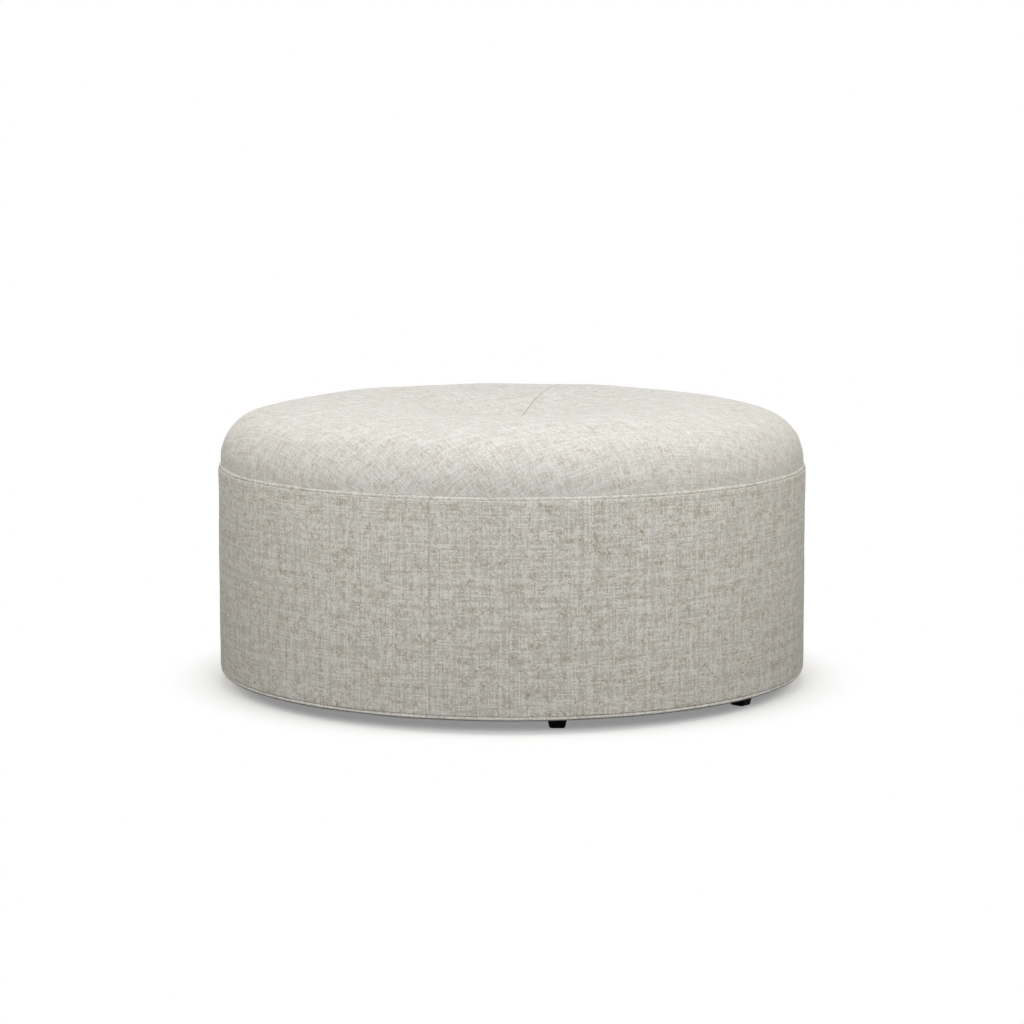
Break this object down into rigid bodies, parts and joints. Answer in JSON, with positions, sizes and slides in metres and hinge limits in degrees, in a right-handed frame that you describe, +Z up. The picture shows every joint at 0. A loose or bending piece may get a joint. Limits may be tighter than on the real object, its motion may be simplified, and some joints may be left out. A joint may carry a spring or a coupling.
{
  "type": "ottoman coffee table",
  "caption": "Round upholstered drum ottoman with a dished, puffed crown, piping above and below its side band, and low black block feet.",
  "frame": {"origin": "middle of the circle on the floor that the feet stand on", "axes": "+Z up; -Y is the front, where the side band has its closing seam"},
  "size_m": [0.9143, 0.9144, 0.4348],
  "materials": {
    "linen_weave": "matte",
    "polyester_wadding": "matte",
    "seat_foam": "matte",
    "cotton_cord": "matte",
    "plywood": "matte",
    "softwood": "matte",
    "hardboard": "matte",
    "black_plastic": "satin",
    "black_dust_cloth": "matte",
    "pale_plastic": "matte",
    "zinc_steel": "satin"
  },
  "bodies": {
    "root": {"band_cover": "linen_weave", "band_padding": "polyester_wadding", "base_staples": "zinc_steel", "bottom_ring": "plywood", "bottom_welt_cord": "cotton_cord", "bottom_welt_cover": "linen_weave", "centre_button_cover": "linen_weave", "centre_button_shell": "zinc_steel", "crown_batting": "polyester_wadding", "crown_cover": "linen_weave", "crown_foam": "seat_foam", "deck_board": "plywood", "deck_screws": "zinc_steel", "dust_cover": "black_dust_cloth", "foot_1": "black_plastic", "foot_2": "black_plastic", "foot_3": "black_plastic", "foot_4": "black_plastic", "foot_5": "black_plastic", "foot_6": "black_plastic", "foot_bolts": "zinc_steel", "foot_tee_nuts": "zinc_steel", "frame_post_1": "softwood", "frame_post_2": "softwood", "frame_post_3": "softwood", "frame_post_4": "softwood", "frame_post_5": "softwood", "frame_post_6": "softwood", "frame_post_7": "softwood", "frame_post_8": "softwood", "post_screws": "zinc_steel", "side_wall": "hardboard", "top_ring": "plywood", "top_welt_cord": "cotton_cord", "top_welt_cover": "linen_weave", "tufting_twine": "cotton_cord", "twine_toggle": "pale_plastic"}
  },
  "joints": []
}
